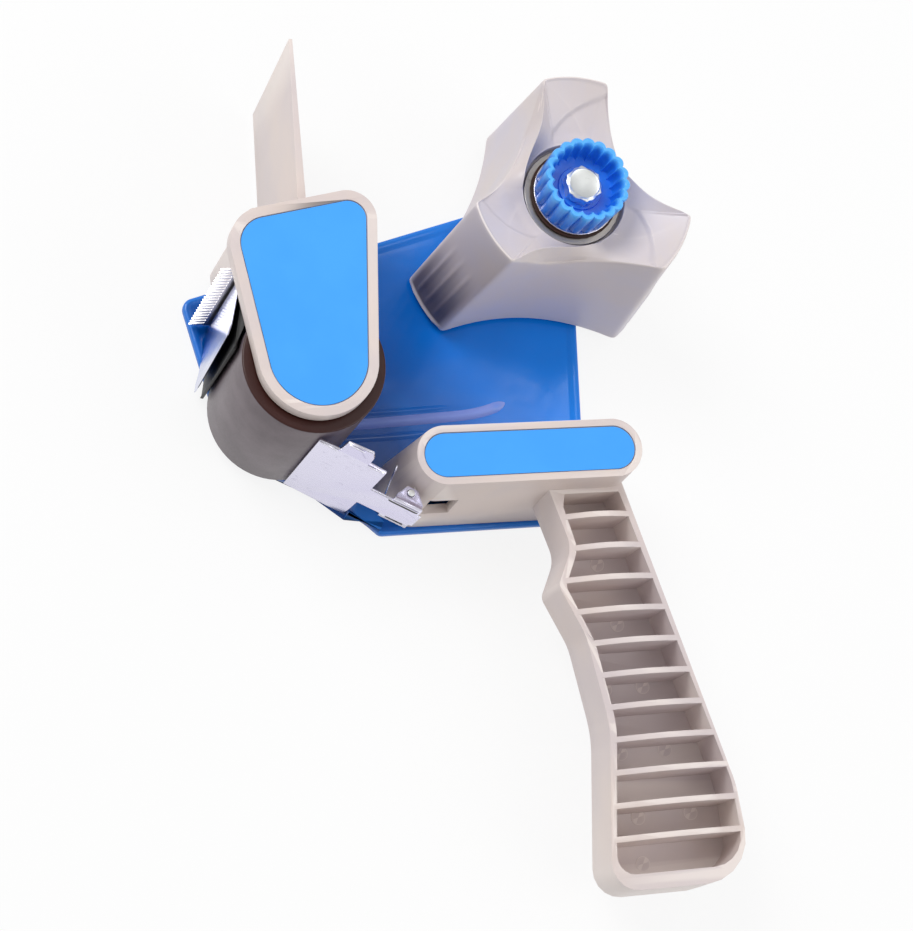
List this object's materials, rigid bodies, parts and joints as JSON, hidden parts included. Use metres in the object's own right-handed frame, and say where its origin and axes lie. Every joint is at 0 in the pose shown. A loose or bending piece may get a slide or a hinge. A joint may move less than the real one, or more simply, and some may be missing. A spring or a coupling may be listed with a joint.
{
  "type": "packing tape dispenser",
  "caption": "Hand held packing tape dispenser: tape hub with brake knob, rubber roller, toothed blade, smoothing flap and pistol grip on a pressed steel side plate",
  "frame": {"origin": "on the hub's axis, at the flat back of the nut pressed into the side plate; the dispenser lies on its side plate", "axes": "+Z along the hub's axis away from the side plate, -Y down the pistol grip, -X towards the roller and the blade"},
  "size_m": [0.1415, 0.2436, 0.0636],
  "materials": {
    "plate": "glossy blue paint",
    "plastic": "satin moulded plastic, warm pale grey",
    "label": "satin blue film, bare",
    "knob": "satin moulded blue plastic",
    "blade": "bright ground steel",
    "bright": "bright nickel plated sheet",
    "dull": "dull spring steel",
    "zinc": "pale zinc plating",
    "core": "dark red brown fibre",
    "rubber": "smooth brown grey rubber",
    "black": "black plastic"
  },
  "bodies": {
    "frame": {"side_plate": "plate", "plate_nut": "zinc", "handle": "plastic", "handle_label": "label", "handle_screw_1": "zinc", "handle_screw_2": "zinc", "handle_screw_3": "zinc", "front_cheek": "plastic", "cheek_label": "label", "cheek_screw_1": "zinc", "cheek_screw_2": "zinc", "front_block": "plastic", "block_screw_1": "zinc", "block_screw_2": "zinc", "blade": "blade", "blade_holder": "black", "blade_screw_1": "zinc", "blade_screw_2": "zinc", "blade_guard": "bright", "roller_axle": "zinc", "rear_friction_washer": "core", "retainer_pin": "zinc", "retainer_spring": "dull"},
    "hub": {"hub": "plastic", "spring_seat": "dull", "brake_spring": "dull"},
    "brake_stack": {"spring_cup": "dull", "fibre_washer": "core", "thrust_washer": "bright"},
    "knob": {"knob": "knob", "hub_bolt": "zinc"},
    "roller": {"roller_tyre": "rubber", "roller_core": "core", "roller_bush_far": "black", "roller_bush_near": "black"},
    "retainer": {"retainer_plate": "bright"},
    "flap": {"flap": "plastic"}
  },
  "joints": [
    {"name": "hub_spin", "type": "hinge", "parent": "frame", "child": "hub", "pos_m": [0, 0, 0.03], "axis": [0, 0, 1], "continuous": true},
    {"name": "knob_lift", "type": "slide", "parent": "frame", "child": "brake_stack", "axis": [0, 0, 1], "range_m": [0, 0.002], "deforming": ["brake_spring"]},
    {"name": "knob_turn", "type": "hinge", "parent": "brake_stack", "child": "knob", "pos_m": [0, 0, 0.055], "axis": [0, 0, 1], "range_deg": [0, 720]},
    {"name": "roller_spin", "type": "hinge", "parent": "frame", "child": "roller", "pos_m": [-0.0824, -0.0477, 0.028], "axis": [0, 0, 1], "continuous": true},
    {"name": "retainer_swing", "type": "hinge", "parent": "frame", "child": "retainer", "pos_m": [-0.05368, -0.08079, 0.024], "axis": [0, 0, 1], "range_deg": [0, 25], "stiffness_Nm_per_rad": 0.05, "springref_deg": -20.05},
    {"name": "flap_bend", "type": "hinge", "parent": "frame", "child": "flap", "pos_m": [-0.0809, -0.0095, 0.027], "axis": [0, 0, -1], "range_deg": [0, 15], "stiffness_Nm_per_rad": 0.3}
  ],
  "couplings": [
    {"joint": "knob_turn", "follows": "knob_lift", "rad_per_m": 6283.2}
  ]
}
